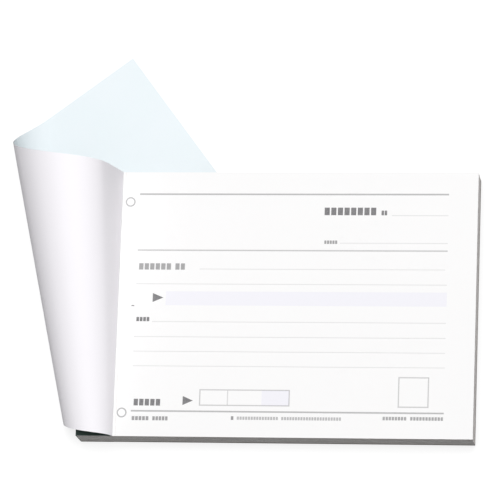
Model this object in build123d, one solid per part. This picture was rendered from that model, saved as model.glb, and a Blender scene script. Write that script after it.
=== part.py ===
"""Duplicate receipt book: a taped and stapled pad of paired leaves with its cover rolled back.

Sizes are in millimetres. X runs from the spine to the free edge, Y from the front to the back,
Z up. The origin is on the table, under the middle of the crease where the cover turns.
"""
import math
import os

from build123d import *

os.makedirs("parts", exist_ok=True)

# The pad
book_width = 146.0
book_depth = 100.0
margin_width = 13.2
set_count = 50
leaf_thickness = 0.09
leaf_pitch = 0.101
board_thickness = 1.5
air = 0.02

# The binding
tape_thickness = 0.25
tape_set_back = 0.5
tape_under_width = 12.0
staple_from_spine = 5.5
staple_span = 12.0
staple_spacing = 54.0
wire_width = 0.7
wire_thickness = 0.45
clinch_length = 4.0
wire_clearance = 0.02

# The tear line of each original; the first few sets have nodes of their own
loose_sets = 3
tear_line = 1.2
tear_slit = 0.12
tear_step = 4.0
tear_tie = 0.8

# The rolled cover. The bends share the roll's turn equally, and the middle one of each three is hinged.
cover_thickness = 0.2
bend_count = 12
bends_per_hinge = 3
roll_turn = 253.3
roll_start_front = 0.5
roll_start_back = 13.85
roll_crowding = 0.37
panel_trim = 0.1
# first guesses for the three values that lay the cover's end flat on the table
crease_turn_guess = 105.0
spread_front_guess = 39.2
spread_back_guess = 80.6

# Levels, counted up from the table
half_depth = book_depth / 2
spine = -margin_width
free_edge = book_width - margin_width
tape_bottom = cover_thickness + air
board_bottom = tape_bottom + tape_thickness
leaves_bottom = board_bottom + board_thickness
pad_top = leaves_bottom + 2 * set_count * leaf_pitch
cover_bottom = pad_top + air
cover_top = cover_bottom + cover_thickness


def save(name, *solids):
    """Writes one node, as one solid or as a group of separate ones."""
    shape = solids[0] if len(solids) == 1 else Compound(children=list(solids))
    shape.label = name
    export_step(shape, f"parts/{name}.step")


def slab(outline, bottom, thickness):
    """A flat piece: an outline drawn on the table, raised to its level."""
    return (Pos(0, 0, bottom) * extrude(outline, thickness)).solid()


def rectangle(left, right, front, back):
    """A rectangle given by its four sides."""
    return Pos((left + right) / 2, (front + back) / 2) * Rectangle(right - left, back - front)


# Staples: a crown along the spine, two legs through the pad, and ends bent in under the board.
# The crown is pressed in level with the cover, and the ends are pressed into the board.
staple_x = spine + staple_from_spine
staple_places = [-staple_spacing / 2, staple_spacing / 2]
crown_bottom = cover_top - wire_thickness
clinch_top = board_bottom + wire_thickness


def staple(y):
    """One staple, its crown centred at y."""
    half = staple_span / 2
    tip = half - clinch_length
    inside = half - wire_thickness
    right_side = [
        (0, cover_top),
        (half, cover_top),
        (half, board_bottom),
        (tip, board_bottom),
        (tip, clinch_top),
        (inside, clinch_top),
        (inside, crown_bottom),
        (0, crown_bottom),
    ]
    left_side = [(-across, up) for across, up in reversed(right_side[1:-1])]
    profile = make_face(Polyline(*right_side, *left_side, close=True))
    corners = [v for v in profile.vertices() if abs(abs(v.X) - half) < 0.01]
    profile = fillet(corners, wire_thickness * 0.6)
    section = Plane((staple_x, y, 0), x_dir=(0, 1, 0), z_dir=(1, 0, 0))
    return extrude(section * profile, wire_width / 2, both=True).solid()


def leg_holes():
    """Outlines of the four holes that the staple legs make in a leaf."""
    wide = wire_width + 2 * wire_clearance
    long = wire_thickness + 2 * wire_clearance
    places = []
    for y in staple_places:
        for side in (-1, 1):
            places.append(Pos(staple_x, y + side * (staple_span - wire_thickness) / 2))
    return Sketch() + [place * Rectangle(wide, long) for place in places]


def crown_slots():
    """Outlines of the two slots that the crowns press through the cover and the top leaves."""
    wide = wire_width + 2 * wire_clearance
    long = staple_span + 2 * wire_clearance
    return Sketch() + [Pos(staple_x, y) * Rectangle(wide, long) for y in staple_places]


save("wire_staples", *[staple(y) for y in staple_places])

# Back board, with the staple ends pressed into its underside
board = slab(rectangle(spine, free_edge, -half_depth, half_depth) - leg_holes(), board_bottom, board_thickness)
for y in staple_places:
    groove = rectangle(
        staple_x - wire_width / 2 - wire_clearance,
        staple_x + wire_width / 2 + wire_clearance,
        y - staple_span / 2 - wire_clearance,
        y + staple_span / 2 + wire_clearance,
    )
    board -= slab(groove, board_bottom, wire_thickness + wire_clearance)
save("back_board", board.solid())

# Binding tape: a strip folded round the spine, from the top margin to the underside of the board
tape_outside = spine - air - tape_thickness
tape_outline = Polyline(
    (-tape_set_back, cover_top + air),
    (spine - air, cover_top + air),
    (spine - air, board_bottom - air / 2),
    (spine + tape_under_width, board_bottom - air / 2),
    (spine + tape_under_width, tape_bottom),
    (tape_outside, tape_bottom),
    (tape_outside, cover_top + air + tape_thickness),
    (-tape_set_back, cover_top + air + tape_thickness),
    close=True,
)
tape_profile = Plane.XZ * make_face(tape_outline)
tape = extrude(tape_profile, half_depth, both=True)
tape_corners = tape.edges().filter_by(Axis.Y).group_by(Axis.X)[0]
save("binding_tape", fillet(tape_corners, tape_thickness * 0.9).solid())

# Leaves: original 1 is the highest and copy 50 the lowest. The staple crowns press through the top three.
whole_leaf = rectangle(spine, free_edge, -half_depth, half_depth)
slotted_leaves = 3


def leaf_level(place):
    """Underside of the leaf at a place counted down from the top of the pad."""
    return pad_top - place * leaf_pitch - leaf_thickness


def wire_gaps(place):
    """What the staples take out of the leaf at a place counted from the top."""
    return crown_slots() if place < slotted_leaves else leg_holes()


def tear_off_outline():
    """An original's leaf, with the ties that hold it to its stub along the tear line."""
    count = int(book_depth // tear_step)
    middle = tear_line + air / 2 + tear_slit / 2
    ties = [Pos(middle, (k - (count - 1) / 2) * tear_step) * Rectangle(tear_slit, tear_tie) for k in range(count)]
    return rectangle(tear_line + tear_slit, free_edge, -half_depth, half_depth) + ties


stub_outline = rectangle(spine, tear_line, -half_depth, half_depth)
for number in range(1, loose_sets + 1):
    place = 2 * (number - 1)
    stub = slab(stub_outline - wire_gaps(place), leaf_level(place), leaf_thickness)
    save(f"original_{number:02d}_stub", stub)
    save(f"original_{number:02d}", slab(tear_off_outline(), leaf_level(place), leaf_thickness))
    copy = slab(whole_leaf - wire_gaps(place + 1), leaf_level(place + 1), leaf_thickness)
    save(f"copy_{number:02d}", copy)

lower_leaf = whole_leaf - leg_holes()
lower_places = range(2 * loose_sets, 2 * set_count)
lower_leaves = [slab(lower_leaf, leaf_level(place), leaf_thickness) for place in lower_places]
save("lower_originals", *lower_leaves[0::2])
save("lower_copies", *lower_leaves[1::2])

# Cover stub, held between the pad and the tape
cover_stub = rectangle(spine, -panel_trim, -half_depth, half_depth) - crown_slots()
save("front_cover_stub", slab(cover_stub, cover_bottom, cover_thickness))


# Rolled cover: the flat cover is cut along bend lines that fan out to the back, and each line turns the rest
# of the cover by the same angle. The lines stand closer where the roll is tighter.
def bend_share(k):
    """Where bend k stands between the start and the end of the roll, from 0 to 1."""
    goal = (k + 0.5) / bend_count
    low, high = 0.0, 1.0
    for _ in range(50):
        middle = (low + high) / 2
        if middle + roll_crowding / (2 * math.pi) * math.sin(2 * math.pi * middle) < goal:
            low = middle
        else:
            high = middle
    return middle


shares = [bend_share(k) for k in range(bend_count)]
bend_turn = roll_turn / bend_count


def bend_lines(spread_front, spread_back):
    """Bend lines in the flat cover: the crease, then each bend, as places on the front and back edges."""
    lines = [(0.0, 0.0)]
    for share in shares:
        lines.append((roll_start_front + spread_front * share, roll_start_back + spread_back * share))
    return lines


def bend_axis(line):
    """A bend line as an axis on the cover's face, pointing to the front."""
    front, back = line
    return Axis((front, -half_depth, cover_top), (front - back, -book_depth, 0))


def turned(point, axes, turns):
    """A point of the flat cover, carried round by the bends before it."""
    for axis, turn in zip(reversed(axes), reversed(turns)):
        point = (point - axis.position).rotate(axis, turn) + axis.position
    return point


def end_heights(values):
    """How far three corners of the cover's end lie above their level on the table."""
    crease_turn, spread_front, spread_back = values
    lines = bend_lines(spread_front, spread_back)
    axes = [bend_axis(line) for line in lines]
    turns = [crease_turn] + [bend_turn] * bend_count
    front, back = lines[-1]
    corners = [
        Vector(front, -half_depth, cover_top),
        Vector(back, half_depth, cover_top),
        Vector(free_edge, 0, cover_top),
    ]
    return [turned(corner, axes, turns).Z - cover_thickness for corner in corners]


def determinant(a, b, c):
    """Of a matrix with the three given columns."""
    return (
        a[0] * (b[1] * c[2] - b[2] * c[1])
        - b[0] * (a[1] * c[2] - a[2] * c[1])
        + c[0] * (a[1] * b[2] - a[2] * b[1])
    )


# Newton's method for the crease's turn and the two spreads
roll = [crease_turn_guess, spread_front_guess, spread_back_guess]
step = 1e-4
for _ in range(20):
    height = end_heights(roll)
    columns = []
    for k in range(3):
        nudged = list(roll)
        nudged[k] += step
        columns.append([(h - h0) / step for h, h0 in zip(end_heights(nudged), height)])
    whole = determinant(*columns)
    for k in range(3):
        changed = list(columns)
        changed[k] = height
        roll[k] -= determinant(*changed) / whole

crease_turn, spread_front, spread_back = roll
lines = bend_lines(spread_front, spread_back)
axes = [bend_axis(line) for line in lines]
turns = [crease_turn] + [bend_turn] * bend_count


def cover_panel(k, start, end):
    """Panel k at rest: its flat outline, shifted at its two bends, carried round by the bends before it."""
    front_a, back_a = lines[k]
    front_b, back_b = lines[k + 1] if k < bend_count else (free_edge, free_edge)
    corners = [
        (front_a + start, -half_depth),
        (front_b + end, -half_depth),
        (back_b + end, half_depth),
        (back_a + start, half_depth),
    ]
    panel = slab(make_face(Polyline(*corners, close=True)), cover_bottom, cover_thickness)
    for axis, turn in zip(reversed(axes[: k + 1]), reversed(turns[: k + 1])):
        panel = panel.rotate(axis, turn)
    return panel


# Panels between two hinged bends are one stiff piece, scored along the bends inside it
hinged = list(range((bends_per_hinge + 1) // 2, bend_count + 1, bends_per_hinge))
first_panels = [0] + hinged
last_panels = [bend - 1 for bend in hinged] + [bend_count]
fold_lap = cover_thickness / 2 * math.tan(math.radians(bend_turn / 2))
for number, (first, last) in enumerate(zip(first_panels, last_panels), 1):
    panels = []
    for k in range(first, last + 1):
        start = panel_trim if k == first else -fold_lap
        end = fold_lap if k < last else -panel_trim if k < bend_count else 0.0
        panels.append(cover_panel(k, start, end))
    save(f"cover_part_{number}", (panels[0] + panels[1:]).solid())
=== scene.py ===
"""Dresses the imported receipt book: paper, thin card, cloth tape and wire on a pale floor.

Coordinates are the book's own, in metres: X from the spine to the free edge, Y to the back, Z up.
"""
import math
import random

import bpy
import numpy as np
from mathutils import Matrix, Vector


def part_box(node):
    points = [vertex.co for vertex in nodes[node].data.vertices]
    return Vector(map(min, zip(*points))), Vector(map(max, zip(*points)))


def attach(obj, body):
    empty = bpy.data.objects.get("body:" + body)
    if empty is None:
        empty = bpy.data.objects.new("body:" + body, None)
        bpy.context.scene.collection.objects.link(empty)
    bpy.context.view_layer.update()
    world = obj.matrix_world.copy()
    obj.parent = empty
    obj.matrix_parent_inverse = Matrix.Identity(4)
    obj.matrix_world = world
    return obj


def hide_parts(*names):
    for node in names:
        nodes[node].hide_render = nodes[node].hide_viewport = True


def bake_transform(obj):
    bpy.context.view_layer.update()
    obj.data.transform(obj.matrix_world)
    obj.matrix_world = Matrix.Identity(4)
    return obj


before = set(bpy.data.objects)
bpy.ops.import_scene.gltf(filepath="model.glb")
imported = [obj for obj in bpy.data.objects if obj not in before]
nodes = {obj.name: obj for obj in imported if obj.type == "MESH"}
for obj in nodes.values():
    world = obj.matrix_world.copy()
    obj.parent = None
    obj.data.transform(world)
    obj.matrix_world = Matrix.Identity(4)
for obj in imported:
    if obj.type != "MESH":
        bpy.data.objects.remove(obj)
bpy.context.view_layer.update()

# Back board: a sheet of grey board under the leaves, guillotined to the pad's size.
# It is pressed from waste paper, so it is speckled with fibres and its cut edges are rough.
mm = 0.001


class Signal:
    """A socket of a finish; arithmetic on it adds Math nodes."""

    def __init__(self, finish, socket):
        self.finish = finish
        self.socket = socket

    def math(self, operation, *values):
        return self.finish.node("ShaderNodeMath", {"operation": operation}, [self, *values])

    def __add__(self, other):
        return self.math("ADD", other)

    def __sub__(self, other):
        return self.math("SUBTRACT", other)

    def __rsub__(self, other):
        return self.finish.node("ShaderNodeMath", {"operation": "SUBTRACT"}, [other, self])

    def __mul__(self, other):
        return self.math("MULTIPLY", other)

    def __gt__(self, other):
        return self.math("GREATER_THAN", other)

    def __or__(self, other):
        return self.math("MAXIMUM", other)

    def within(self, middle, reach):
        """1 where the value is no further than reach from the middle, else 0."""
        return self.math("COMPARE", middle, reach)

    __radd__ = __add__
    __rmul__ = __mul__
    __ror__ = __or__


class Finish:
    """The nodes of a material, or of the room, in the making."""

    def __init__(self, owner):
        owner.use_nodes = True
        self.owner = owner
        self.tree = owner.node_tree

    def join(self, made, inputs):
        """Gives a node's sockets their values or links, by name or in order."""
        for key, value in inputs.items() if isinstance(inputs, dict) else enumerate(inputs):
            if isinstance(value, Signal):
                self.tree.links.new(value.socket, made.inputs[key])
            else:
                made.inputs[key].default_value = value

    def node(self, kind, settings, inputs, output=0):
        """Adds a node. Its settings come first, then its sockets."""
        made = self.tree.nodes.new(kind)
        for key, value in settings.items():
            setattr(made, key, value)
        self.join(made, inputs)
        return Signal(self, made.outputs[output])

    def place(self, kind="Object"):
        """Coordinates on the piece in millimetres, as a vector and as X, Y and Z."""
        scale = 1.0 if kind == "UV" else 1 / mm
        where = self.node("ShaderNodeTexCoord", {}, {}, kind)
        where = self.node("ShaderNodeVectorMath", {"operation": "SCALE"}, {"Vector": where, "Scale": scale})
        return where, [self.node("ShaderNodeSeparateXYZ", {}, [where], axis) for axis in "XYZ"]

    def noise(self, where, size, detail=2.0):
        """Soft noise from 0 to 1, whose lumps are about size millimetres across."""
        return self.node("ShaderNodeTexNoise", {}, {"Vector": where, "Scale": 1 / size, "Detail": detail})

    def stretch(self, where, x, y, z):
        """Coordinates squeezed along each axis, to draw noise out into streaks."""
        return self.node("ShaderNodeVectorMath", {"operation": "MULTIPLY"}, {0: where, 1: (x, y, z)})

    def mix(self, share, first, second):
        """A colour between two colours."""
        return self.node("ShaderNodeMix", {"data_type": "RGBA"}, {0: share, 6: first, 7: second}, 2)

    def facing_up(self):
        """1 on the piece's flat faces and 0 on its cut edges."""
        normal = self.node("ShaderNodeTexCoord", {}, {}, "Normal")
        upright = self.node("ShaderNodeSeparateXYZ", {}, [normal], "Z")
        return upright.math("ABSOLUTE") > 0.5

    def surface(self, colour, roughness, height, depth, metallic=0.0, gloss=0.5):
        """Joins colour, roughness and a relief of the given depth in millimetres to the shader."""
        relief = self.node("ShaderNodeBump", {}, {"Strength": 1.0, "Distance": depth * mm, "Height": height})
        sockets = {"Base Color": colour, "Roughness": roughness, "Metallic": metallic, "Normal": relief}
        sockets["Specular IOR Level"] = gloss
        self.join(self.tree.nodes["Principled BSDF"], sockets)
        return self.owner


def rgba(colour, share=1.0):
    """A colour for a socket, or a share of it."""
    return tuple(part * share for part in colour) + (1.0,)


def dress(piece, *materials):
    """Gives a piece its materials in place of any it has."""
    if piece.data.materials:
        piece.data.materials.clear()
    for material in materials:
        piece.data.materials.append(material)


board_light, board_dark = (0.42, 0.40, 0.37), (0.30, 0.28, 0.26)
pulp_size, fibre_size, board_relief = 0.5, 0.25, 0.05
board_rough, board_rough_spread = 0.75, 0.2
board_finish = Finish(bpy.data.materials.new("grey_board"))
where, _ = board_finish.place()
pulp = board_finish.noise(where, pulp_size, detail=6.0)
fibres = board_finish.noise(board_finish.stretch(where, 1.0, 0.2, 3.0), fibre_size, detail=3.0)
board_tone = (pulp + fibres) * 0.5
board_colour = board_finish.mix(board_tone, rgba(board_dark), rgba(board_light))
board_roughness = board_rough + board_rough_spread * pulp
dress(nodes["back_board"], board_finish.surface(board_colour, board_roughness, board_tone, board_relief))

# Leaves below the third set: thin white originals and buff copies in turn, collated by hand.
# Each is a trimmed sheet that lies a little off its neighbours, so the cut faces are faintly stepped.
white_tone = (0.93, 0.925, 0.925)
copy_tone = (0.91, 0.865, 0.83)
# shares of that tone: where the fibres are darkest, then painted shade on the cut edges and a deeper painted
# shadow in the gaps between leaves
face_shade, edge_painted_shade, gap_painted_shadow = 0.975, 0.72, 0.44
# sizes of the fibres and slow clouds, then of the streaks on the cut edges (painted shadows between leaves
# and in bands, and real knife marks), in millimetres
paper_fibre, cloud_size = 0.35, 18.0
leaf_streak, band_streak, knife_streak = 0.12, 0.9, 0.35
streak_contrast = 3.0
paper_rough, paper_rough_spread = 0.72, 0.16
paper_relief, paper_gloss = 0.012, 0.2


def paper(name, tone, printed=None):
    """Leaf paper: soft fibres on its faces, painted shade on its cut edges with streaks of painted shadow
    between the layers and knife marks, and any print.
    """
    finish = Finish(bpy.data.materials.new(name))
    where, _ = finish.place()
    fibres = finish.noise(finish.stretch(where, 1.0, 0.6, 1.0), paper_fibre, detail=4.0)
    cloud = finish.noise(where, cloud_size)
    shade = (fibres + cloud) * 0.5
    face = finish.mix(shade, rgba(tone, face_shade), rgba(tone))
    if printed:
        face = printed(finish, face, fibres)
    leafing = finish.noise(finish.stretch(where, 0.04, 0.04, 1.0), leaf_streak)
    bands = finish.noise(finish.stretch(where, 0.02, 0.02, 1.0), band_streak)
    knife = finish.noise(finish.stretch(where, 1.0, 1.0, 0.02), knife_streak)
    layers = leafing * 0.4 + bands * 0.4 + knife * 0.2
    lightness = (layers - 0.5) * streak_contrast + 0.5
    # the cut edges get painted shade, deepest in the painted shadows between leaves; the flat faces keep the
    # paper's own tone
    cut = finish.mix(lightness, rgba(tone, gap_painted_shadow), rgba(tone, edge_painted_shade))
    colour = finish.mix(finish.facing_up(), cut, face)
    roughness = paper_rough + paper_rough_spread * fibres
    return finish.surface(colour, roughness, shade, paper_relief, gloss=paper_gloss)


def add_piece(name, mesh, *materials):
    """A new object for a mesh, dressed."""
    piece = bpy.data.objects.new(name, mesh)
    bpy.context.scene.collection.objects.link(piece)
    dress(piece, *materials)
    return piece


white_blank = paper("white_paper", white_tone)
copy_blank = paper("copy_paper", copy_tone)
leaf_low, leaf_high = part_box("copy_03")
leaf_thickness = (leaf_high.z - leaf_low.z) / mm
leaf_pitch = (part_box("copy_01")[0].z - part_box("copy_02")[0].z) / mm
slack_across, slack_along, skew = 0.14, 0.10, 0.06
# the six sides of a leaf, by its lower corners 0 to 3 and its upper corners 4 to 7
leaf_faces = [(3, 2, 1, 0), (4, 5, 6, 7), (0, 1, 5, 4), (1, 2, 6, 5), (2, 3, 7, 6), (3, 0, 4, 7)]
collation = random.Random(7)
for node, material, slot in (
    ("lower_originals", white_blank, "white_paper"),
    ("lower_copies", copy_blank, "copy_paper"),
):
    pile_low, pile_high = (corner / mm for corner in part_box(node))
    leaf_count = round((pile_high.z - pile_low.z - leaf_thickness) / leaf_pitch) + 1
    points, quads = [], []
    for k in range(leaf_count):
        right = pile_high.x - slack_across * collation.random()
        right_back = right - skew * collation.random()
        front = pile_low.y + slack_along * collation.random()
        back = pile_high.y - slack_along * collation.random()
        outline = [(pile_low.x, front), (right, front), (right_back, back), (pile_low.x, back)]
        bottom = pile_low.z + k * leaf_pitch
        first = len(points)
        for level in (bottom, bottom + leaf_thickness):
            points += [(px * mm, py * mm, level * mm) for px, py in outline]
        quads += [tuple(first + corner for corner in face) for face in leaf_faces]
    leaves_mesh = bpy.data.meshes.new(node + "_leaves")
    leaves_mesh.from_pydata(points, [], quads)
    leaves = add_piece(node + "_leaves", leaves_mesh, material)
    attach(leaves, "book")
    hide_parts(node)

# The top three sets: printed originals, each torn from its stub along a row of slits, over bound copies.
# All carry the same form of rules, boxes and punch guides; the copies take the writing by pressure.
# Places on the form are in millimetres from the crease and from the middle of the leaf.
form_left, form_right = 6.7, 122.0
heavy_line, plain_line, fine_line, box_line, ring_line = 0.6, 0.5, 0.3, 0.45, 0.5
heavy_tone, plain_tone, fine_tone, box_tone, ring_tone, word_tone = 0.5, 0.42, 0.2, 0.38, 0.5, 0.8
divider_tone = 0.28
block_share, block_width = 0.78, 0.85
tint_share = 0.45
ink_least, ink_spread = 0.85, 0.3
ink_colour = (0.055, 0.052, 0.06)
band_colour = (0.80, 0.79, 0.90)
# left, right, level, thickness and tone of each rule
form_rules = [
    (form_left, form_right, 41.6, heavy_line, heavy_tone),
    (101.1, form_right, 33.6, fine_line, fine_tone),
    (82.1, form_right, 23.1, fine_line, fine_tone),
    (form_left, form_right, 20.2, plain_line, plain_tone),
    (30.2, 121.3, 13.1, fine_line, fine_tone),
    (form_left, form_right, 7.4, fine_line, fine_tone),
    (13.2, form_right, -6.9, fine_line, fine_tone),
    (form_left, form_right, -12.6, fine_line, fine_tone),
    (form_left, form_right, -18.1, fine_line, fine_tone),
    (form_left, form_right, -23.6, fine_line, fine_tone),
    (form_left, form_right, -40.5, heavy_line, heavy_tone),
    (42.2, 42.6, -35.3, 6.0, divider_tone),
    (5.3, 6.3, -0.9, 0.4, word_tone),
]
# left, right, foot, height and tone of each word
form_words = [
    (75.8, 95.5, 33.7, 2.9, word_tone),
    (97.1, 99.4, 33.7, 1.8, word_tone),
    (76.2, 81.2, 22.8, 1.3, 0.65),
    (7.3, 19.7, 12.8, 2.4, 0.62),
    (20.9, 24.9, 12.8, 2.4, 0.62),
    (7.2, 12.3, -6.8, 1.6, word_tone),
    (7.4, 17.7, -38.5, 2.5, word_tone),
    (7.0, 13.5, -44.0, 1.5, 0.66),
    (14.7, 20.6, -44.0, 1.5, 0.66),
    (43.8, 45.0, -43.6, 1.4, 0.7),
    (46.0, 61.4, -43.5, 1.2, 0.48),
    (62.4, 84.6, -43.5, 1.2, 0.48),
    (99.6, 108.5, -43.2, 1.3, 0.6),
    (109.7, 121.9, -43.2, 1.3, 0.6),
]
# left, right, level and height of each marker that points at a field
form_markers = [(13.1, 17.1, 2.2, 3.4), (25.8, 29.6, -36.5, 3.4)]
# left, right, front and back of each box, and of each tinted field
form_boxes = [(31.9, 65.4, -38.4, -32.2), (105.1, 116.4, -38.5, -27.1)]
form_tints = [(18.0, 122.1, -0.7, 4.6), (55.0, 65.1, -38.1, -32.5)]
# the middles of the two punch guides, and their radius
form_rings = [(3.3, 38.6), (3.3, -41.2)]
ring_radius = 1.6


def inside(x, y, left, right, front, back, line=0.0):
    """1 inside a rectangle, drawn in by the width of a line, else 0."""
    across = x.within((left + right) / 2, (right - left) / 2 - line)
    return across * y.within((front + back) / 2, (back - front) / 2 - line)


def ink_words(x, y):
    """Rows of even blocks in the places of words; they spell nothing."""
    ink = 0.0
    for left, right, foot, height, tone in form_words:
        count = max(round((right - left) / (block_width * height)), 1)
        run = (x - left) * (count / (right - left))
        blocks = run.math("FRACT").within(0.5, block_share / 2)
        ink |= blocks * inside(x, y, left, right, foot, foot + height) * tone
    return ink


def ink_lines(x, y):
    """Rules, the outlines of boxes, and the punch guides."""
    ink = 0.0
    for left, right, level, thickness, tone in form_rules:
        ink |= inside(x, y, left, right, level - thickness / 2, level + thickness / 2) * tone
    for box in form_boxes:
        ink |= (inside(x, y, *box) - inside(x, y, *box, box_line)) * box_tone
    for across, along in form_rings:
        aside, ahead = x - across, y - along
        reach = (aside * aside + ahead * ahead).math("SQRT")
        ink |= reach.within(ring_radius, ring_line / 2) * ring_tone
    return ink


def ink_markers(x, y):
    """Solid triangles that point at a field."""
    ink = 0.0
    for left, right, level, height in form_markers:
        slope = (right - x) * (height / 2 / (right - left))
        ink |= (x > left) * (slope > (y - level).math("ABSOLUTE")) * word_tone
    return ink


def print_form(finish, face, fibres):
    """The form on a leaf's face; the ink takes a little unevenly on the fibres."""
    _, (x, y, _) = finish.place()
    tint = 0.0
    for field in form_tints:
        tint |= inside(x, y, *field) * tint_share
    ink = ink_lines(x, y) | ink_words(x, y) | ink_markers(x, y)
    face = finish.mix(tint, face, rgba(band_colour))
    return finish.mix(ink * (ink_least + ink_spread * fibres), face, rgba(ink_colour))


white_form = paper("white_form", white_tone, print_form)
copy_form = paper("copy_form", copy_tone, print_form)
for number in ("01", "02", "03"):
    dress(nodes[f"original_{number}_stub"], white_blank)
    dress(nodes[f"original_{number}"], white_form)
    dress(nodes[f"copy_{number}"], copy_form)

# The first original: a leaf that hangs on the paper ties of its tear line.
# It is loose on them, so it lies a hair off the pad at its free corners.
sharp_angle = math.radians(40)


def shell(name, upper, lower, flat=None):
    """A closed thin sheet between two like grids of points in millimetres; flat holds its UVs."""
    rows, columns = upper.shape[:2]
    count = rows * columns
    number = np.arange(count).reshape(rows, columns)
    a, b = number[:-1, :-1].ravel(), number[1:, :-1].ravel()
    c, d = number[1:, 1:].ravel(), number[:-1, 1:].ravel()
    tops = np.stack([a, b, c, d], 1)
    bottoms = np.stack([a, d, c, b], 1) + count
    border = [*number[:-1, 0], *number[-1, :-1], *number[:0:-1, -1], *number[0, :0:-1]]
    rim = [(p, p + count, q + count, q) for p, q in zip(border, border[1:] + border[:1])]
    mesh = bpy.data.meshes.new(name)
    points = np.concatenate([upper.reshape(-1, 3), lower.reshape(-1, 3)]) * mm
    mesh.from_pydata(points.tolist(), [], tops.tolist() + bottoms.tolist() + rim)
    sides = [0] * len(tops) + [1] * len(bottoms) + [2] * len(rim)
    mesh.polygons.foreach_set("material_index", sides)
    if flat is not None:
        layer = mesh.uv_layers.new(name="flat")
        corners = np.zeros(len(mesh.loops), int)
        mesh.loops.foreach_get("vertex_index", corners)
        both = np.concatenate([flat.reshape(-1, 2)] * 2)
        layer.data.foreach_set("uv", both[corners].ravel())
    mesh.shade_smooth()
    mesh.set_sharp_from_angle(angle=sharp_angle)
    return mesh


top_low, top_high = (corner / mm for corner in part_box("original_01"))
tie_step, tie_length, tie_edge, tie_reach = 4.0, 0.8, 0.02, 0.11
slit_x = top_low.x + tie_reach
tie_count = int((top_high.y - top_low.y) // tie_step)
tear_rows, tear_places = [top_low.y], [slit_x]
for k in range(tie_count):
    middle = (k - (tie_count - 1) / 2) * tie_step
    half = tie_length / 2
    tear_rows += [middle - half - tie_edge, middle - half, middle + half, middle + half + tie_edge]
    tear_places += [slit_x, top_low.x, top_low.x, slit_x]
tear_rows.append(top_high.y)
tear_places.append(slit_x)

lift, ripple, ripple_length, ripple_turn = 0.25, 0.12, 23.0, 5.5
corner_share = 0.65
sheet_columns = 49
along = np.array(tear_rows)[:, None]
across = np.linspace(0.0, 1.0, sheet_columns)[None, :]
sheet_x = np.array(tear_places)[:, None] * (1 - across) + top_high.x * across
sheet_y = along + 0 * across
curl = across**3 * (1 - corner_share + corner_share * (along / top_high.y) ** 2)
wave = ripple * np.sin(across * ripple_turn) ** 2 * np.sin(along / ripple_length) ** 2
sheet_z = top_low.z + lift * (curl + wave)
form_lower = np.stack([sheet_x, sheet_y, sheet_z], 2).transpose(1, 0, 2)
form_upper = form_lower + np.array([0.0, 0.0, leaf_thickness])
form_mesh = shell("top_form", form_upper, form_lower)
top_form = add_piece("top_form", form_mesh, white_form, white_form, white_form)
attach(top_form, "first_original")
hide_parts("original_01")

# Staples: two of flat steel wire, driven through the margin and clinched under the board.
# The tape covers both, so only a torn book would show them.
steel_dark, steel_light = (0.52, 0.52, 0.53), (0.72, 0.72, 0.73)
drawn_streak, steel_relief = 0.2, 0.01
steel_rough, steel_rough_spread = 0.25, 0.25
steel = Finish(bpy.data.materials.new("staple_wire"))
where, _ = steel.place()
drawn = steel.noise(steel.stretch(where, 4.0, 0.3, 4.0), drawn_streak, detail=3.0)
steel_colour = steel.mix(drawn, rgba(steel_dark), rgba(steel_light))
steel_roughness = steel_rough + steel_rough_spread * drawn
wire_material = steel.surface(steel_colour, steel_roughness, drawn, steel_relief, metallic=1.0)
dress(nodes["wire_staples"], wire_material)

# Cover: one sheet of thin card, pale blue-green on its face and white on its back.
# It is turned back at the crease and rolled round, and its end lies under the book.
# A strip of it stays flat under the tape, held by the staples.
face_light, face_dark = (0.855, 0.905, 0.94), (0.80, 0.88, 0.905)
back_light, back_dark = (0.965, 0.945, 0.98), (0.935, 0.915, 0.955)
edge_light, edge_dark = (0.80, 0.82, 0.83), (0.70, 0.72, 0.73)
card_fibre, mottle_size = 0.4, 14.0
card_rough, card_rough_spread = 0.55, 0.2
card_relief, card_gloss = 0.02, 0.25


def card(name, light, dark, kind="UV"):
    """Coated card: faint fibres and a slow mottle."""
    finish = Finish(bpy.data.materials.new(name))
    where, _ = finish.place(kind)
    fibres = finish.noise(finish.stretch(where, 1.0, 0.4, 1.0), card_fibre, detail=4.0)
    mottle = finish.noise(where, mottle_size)
    shade = (fibres + mottle) * 0.5
    colour = finish.mix(shade, rgba(dark), rgba(light))
    roughness = card_rough + card_rough_spread * fibres
    return finish.surface(colour, roughness, shade, card_relief, gloss=card_gloss)


dress(nodes["front_cover_stub"], card("card_stub", face_light, face_dark, "Object"))
cover_sides = [
    card("card_face", face_light, face_dark),
    card("card_back", back_light, back_dark),
    card("card_edge", edge_light, edge_dark),
]

# The bends of the solid cover: the crease, then twelve even turns that fan out to the back
stub_low, stub_high = (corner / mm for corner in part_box("front_cover_stub"))
card_thickness = stub_high.z - stub_low.z
face_level = stub_high.z
half_depth = stub_high.y
free_edge = top_high.x
crease_turn, roll_turn, bend_count = 105.0232, 253.3, 12
front_start, front_spread = 0.5, 39.5025
back_start, back_spread = 13.85, 80.0130
crowding = 0.37
halvings = 50


def bend_share(k):
    """Where bend k stands across the roll, from 0 to 1, by halving: the bends crowd at its ends."""
    goal = (k + 0.5) / bend_count
    low, high = 0.0, 1.0
    for _ in range(halvings):
        middle = (low + high) / 2
        if middle + crowding / (2 * math.pi) * math.sin(2 * math.pi * middle) < goal:
            low = middle
        else:
            high = middle
    return middle


shares = [bend_share(k) for k in range(bend_count)]
bends = [(0.0, 0.0)]
bends += [(front_start + front_spread * share, back_start + back_spread * share) for share in shares]
turns = [crease_turn] + [roll_turn / bend_count] * bend_count


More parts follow.
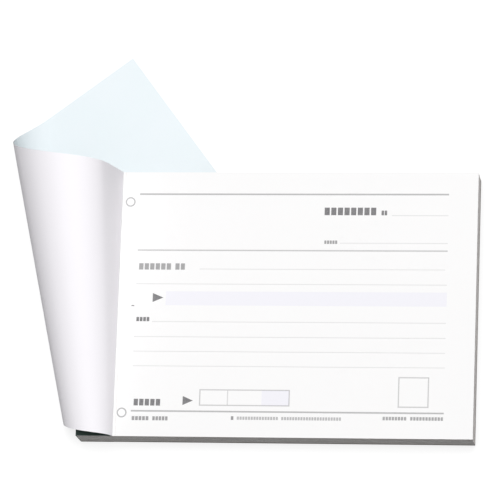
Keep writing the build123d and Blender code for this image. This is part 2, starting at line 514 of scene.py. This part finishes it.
def rolled(front, back, panel):
    """A line across the cover at rest: its front and back ends, each with its place on the flat sheet."""
    ends = np.array([[front, -half_depth, face_level], [back, half_depth, face_level]])
    for k in range(panel, -1, -1):
        foot = np.array([bends[k][0], -half_depth, face_level])
        axis = Vector((bends[k][0] - bends[k][1], -2 * half_depth, 0))
        turn = np.array(Matrix.Rotation(math.radians(turns[k]), 3, axis))
        ends = (ends - foot) @ turn.T + foot
    return np.concatenate([ends, [[front], [back]]], 1)


folds = [rolled(*bends[k], k) for k in range(bend_count + 1)]
middles = [(a + b) / 2 for a, b in zip(folds, folds[1:])]
last_half = [(b - a) / 2 for a, b in zip(bends[-2], bends[-1])]
middles.append(rolled(bends[-1][0] + last_half[0], bends[-1][1] + last_half[1], bend_count))
tail = rolled(free_edge, free_edge, bend_count)

# Each bend is rounded from the middle of one panel to the middle of the next
bend_steps, crease_steps, tail_steps, depth_steps = 16, 6, 30, 41
stations = [folds[0] + (middles[0] - folds[0]) * t for t in np.linspace(0, 1, crease_steps, endpoint=False)]
middle_places = []
for before, fold, after in zip(middles, folds[1:], middles[1:]):
    middle_places.append(len(stations))
    for t in np.linspace(0, 1, bend_steps, endpoint=False):
        stations.append((1 - t) ** 2 * before + 2 * t * (1 - t) * fold + t * t * after)
stations += [middles[-1] + (tail - middles[-1]) * t for t in np.linspace(0, 1, tail_steps)]
stations = np.array(stations)

depth_share = np.linspace(0.0, 1.0, depth_steps)[None, :, None]
cover_grid = stations[:, None, 0] * (1 - depth_share) + stations[:, None, 1] * depth_share
cover_face = cover_grid[:, :, :3]
flat_x = cover_grid[:, :, 3]
flat_y = cover_face[0, :, 1][None, :] + 0 * flat_x
cover_flat = np.stack([flat_x, flat_y], 2)
cover_normal = np.cross(np.gradient(cover_face, axis=0), np.gradient(cover_face, axis=1))
cover_normal /= np.linalg.norm(cover_normal, axis=2, keepdims=True)
cover_back = cover_face - card_thickness * cover_normal

# Four pieces, each from the middle of one stiff part to the middle of the next, rounded over the bend
# between
hinged_bends = (2, 5, 8, 11)
cuts = [0] + [middle_places[bend + 1] for bend in hinged_bends[:-1]] + [len(stations) - 1]
for number, bend in enumerate(hinged_bends, 1):
    rows = slice(cuts[number - 1], cuts[number] + 1)
    piece_mesh = shell(f"cover_{number}_sheet", cover_face[rows], cover_back[rows], cover_flat[rows])
    piece = add_piece(f"cover_{number}_sheet", piece_mesh, *cover_sides)
    hinge = folds[bend][:, :3]
    line = hinge[1] - hinge[0]
    ahead = middles[bend][0, :3] - middles[bend - 1][0, :3]
    ahead -= line * (ahead @ line) / (line @ line)
    ahead /= np.linalg.norm(ahead)
    ends = [cover_face[rows][0][0], cover_face[rows][-1][0]]
    reach = min(abs((end - hinge[0]) @ ahead) for end in ends)
    start, end = (hinge[0] - ahead * reach) * mm, (hinge[0] + ahead * reach) * mm
    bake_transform(piece)
    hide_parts(f"cover_part_{number}")
# The last piece also stands for the part beyond the last joint
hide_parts("cover_part_5")

# Binding tape: a strip of dark green book cloth, glued round the spine over the staples.
# It is a plain weave of coarse thread, turned over the top margin and under the board.
cloth_dark, cloth_light = (0.006, 0.015, 0.012), (0.030, 0.060, 0.049)
thread, slub_size, worn_size, cloth_relief = 0.42, 0.6, 5.0, 0.06
cloth_rough, cloth_rough_spread = 0.7, 0.2
cloth = Finish(bpy.data.materials.new("green_tape"))
where, (x, y, _) = cloth.place("UV")
warp = (x * (2 * math.pi / thread)).math("SINE")
weft = (y * (2 * math.pi / thread)).math("SINE")
weave = warp * weft * 0.5 + 0.5
slub = cloth.noise(cloth.stretch(where, 0.15, 1.5, 1.0), slub_size, detail=3.0)
worn = cloth.noise(where, worn_size, detail=4.0)
cloth_tone = weave * 0.5 + slub * 0.3 + worn * 0.2
cloth_colour = cloth.mix(cloth_tone, rgba(cloth_dark), rgba(cloth_light))
cloth_roughness = cloth_rough + cloth_rough_spread * weave
cloth_material = cloth.surface(cloth_colour, cloth_roughness, weave + slub * 0.5, cloth_relief)

# Its middle line in section: along the top margin, down the spine and under the board
tape_low, tape_high = (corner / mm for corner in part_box("binding_tape"))
tape_thickness, turn_radius, under_width = 0.25, 0.32, 12.02
under_end = tape_low.x + tape_thickness + under_width
spine_x = tape_low.x + tape_thickness / 2
lower_level = tape_low.z + tape_thickness / 2
upper_level = tape_high.z - tape_thickness / 2
flat_steps, spine_steps, turn_steps, length_steps = 14, 12, 7, 101
turn = np.linspace(0, math.pi / 2, turn_steps)[1:]
sweep, drop = turn_radius * (1 - np.sin(turn)), turn_radius * (1 - np.cos(turn))
top_run = np.linspace(tape_high.x, spine_x + turn_radius, flat_steps)
spine_run = np.linspace(upper_level - turn_radius, lower_level + turn_radius, spine_steps)[1:]
under_run = np.linspace(spine_x + turn_radius, under_end, flat_steps)[1:]
top_z, spine_line, under_z = 0 * top_run + upper_level, 0 * spine_run + spine_x, 0 * under_run + lower_level
path_x = np.concatenate([top_run, spine_x + sweep, spine_line, spine_x + drop, under_run])
path_z = np.concatenate([top_z, upper_level - drop, spine_run, lower_level + sweep, under_z])
path = np.stack([path_x, path_z], 1)
run = np.gradient(path, axis=0)
run /= np.linalg.norm(run, axis=1, keepdims=True)
outward = np.stack([run[:, 1], -run[:, 0]], 1)
length = np.concatenate([[0], np.cumsum(np.linalg.norm(np.diff(path, axis=0), axis=1))])
tape_y = np.linspace(tape_low.y, tape_high.y, length_steps)
ravel_depth, ravel_rate, drift_rate, drift_start = 0.10, 1.7, 0.43, 1.0
ravel = ravel_depth * np.sin(tape_y * ravel_rate) * np.sin(tape_y * drift_rate + drift_start)


def tape_side(offset):
    """One face of the tape, off its middle line; its two long edges wander a little."""
    section = path + outward * offset
    grid = np.zeros((len(path), len(tape_y), 3))
    grid[:, :, 0] = section[:, 0][:, None]
    grid[:, :, 1] = tape_y[None, :]
    grid[:, :, 2] = section[:, 1][:, None]
    grid[0, :, 0] -= np.abs(ravel)
    grid[-1, :, 0] -= np.abs(ravel[::-1])
    return grid


tape_flat = np.stack(np.meshgrid(length, tape_y, indexing="ij"), 2)
tape_mesh = shell("spine_tape", tape_side(tape_thickness / 2), tape_side(-tape_thickness / 2), tape_flat)
tape = add_piece("spine_tape", tape_mesh, cloth_material, cloth_material, cloth_material)
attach(tape, "book")
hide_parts("binding_tape")


# Studio: a pale floor that keeps a soft shadow, one broad lamp overhead and an even pale room.
# Floor and room look white to the camera and in reflections, but light the book only weakly.
def seen(finish):
    """1 for what the camera sees, directly, in a reflection or through a piece, else 0."""
    rays = ("Is Camera Ray", "Is Glossy Ray", "Is Transmission Ray")
    direct, mirrored, through = (finish.node("ShaderNodeLightPath", {}, {}, ray) for ray in rays)
    return direct | mirrored | through


floor_half, floor_level = 3.0, -0.00005
bounce_grey, shadow_grey, floor_glow = 0.08, 0.3, 0.78
fade_start, fade_length = 300.0, 900.0
floor_finish = Finish(bpy.data.materials.new("floor"))
bounce = floor_finish.node("ShaderNodeBsdfDiffuse", {}, {"Color": rgba([bounce_grey] * 3)})
shadowed = floor_finish.node("ShaderNodeBsdfDiffuse", {}, {"Color": rgba([shadow_grey] * 3)})
glow = floor_finish.node("ShaderNodeEmission", {}, {"Strength": floor_glow})
near = floor_finish.node("ShaderNodeAddShader", {}, [shadowed, glow])
white = floor_finish.node("ShaderNodeEmission", {}, {"Strength": 1.0})
_, (x, y, _) = floor_finish.place()
distance = (x * x + y * y).math("SQRT")
far = (distance - fade_start) * (1 / fade_length)
shown = floor_finish.node("ShaderNodeMixShader", {}, [far, near, white])
floor_look = floor_finish.node("ShaderNodeMixShader", {}, [seen(floor_finish), bounce, shown])
floor_finish.join(floor_finish.tree.nodes["Material Output"], {"Surface": floor_look})
floor_mesh = bpy.data.meshes.new("floor")
floor_sides = [(-1, -1), (1, -1), (1, 1), (-1, 1)]
floor_points = [(side * floor_half, end * floor_half, floor_level) for side, end in floor_sides]
floor_mesh.from_pydata(floor_points, [], [(0, 1, 2, 3)])
floor = add_piece("floor", floor_mesh, floor_finish.owner)

fill_strength = 0.36
room = Finish(bpy.data.worlds.new("room"))
fill = room.node("ShaderNodeBackground", {}, {"Color": rgba((1, 1, 1)), "Strength": fill_strength})
backdrop = room.node("ShaderNodeBackground", {}, {"Color": rgba((1, 1, 1)), "Strength": 1.0})
room_look = room.node("ShaderNodeMixShader", {}, [seen(room), fill, backdrop])
room.join(room.tree.nodes["World Output"], {"Surface": room_look})
bpy.context.scene.world = room.owner

lamp_data = bpy.data.lights.new("overhead", "AREA")
lamp_data.shape = "DISK"
lamp_data.size = 0.9
lamp_data.energy = 17.0
lamp = bpy.data.objects.new("overhead", lamp_data)
bpy.context.scene.collection.objects.link(lamp)
lamp.location = (0.09, 0.21, 1.5)
lamp_aim = Vector((0.05, 0.0, 0.0))
lamp.rotation_euler = (lamp_aim - lamp.location).to_track_quat("-Z", "Y").to_euler()

camera_place = Vector((0.24819, -0.31745, 1.42583))
camera_aim = Vector((0.04875, 0.02027, 0.012))
camera_roll = math.radians(29.4247)
camera_data = bpy.data.cameras.new("camera")
camera_data.sensor_width = 36.0
camera_data.lens = 285.86
camera_data.shift_y = 0.0007
camera = bpy.data.objects.new("camera", camera_data)
bpy.context.scene.collection.objects.link(camera)
look = (camera_aim - camera_place).to_track_quat("-Z", "Y").to_matrix().to_4x4()
camera.matrix_world = Matrix.Translation(camera_place) @ look @ Matrix.Rotation(-camera_roll, 4, "Z")
bpy.context.scene.camera = camera
bpy.context.scene.view_settings.view_transform = "Standard"
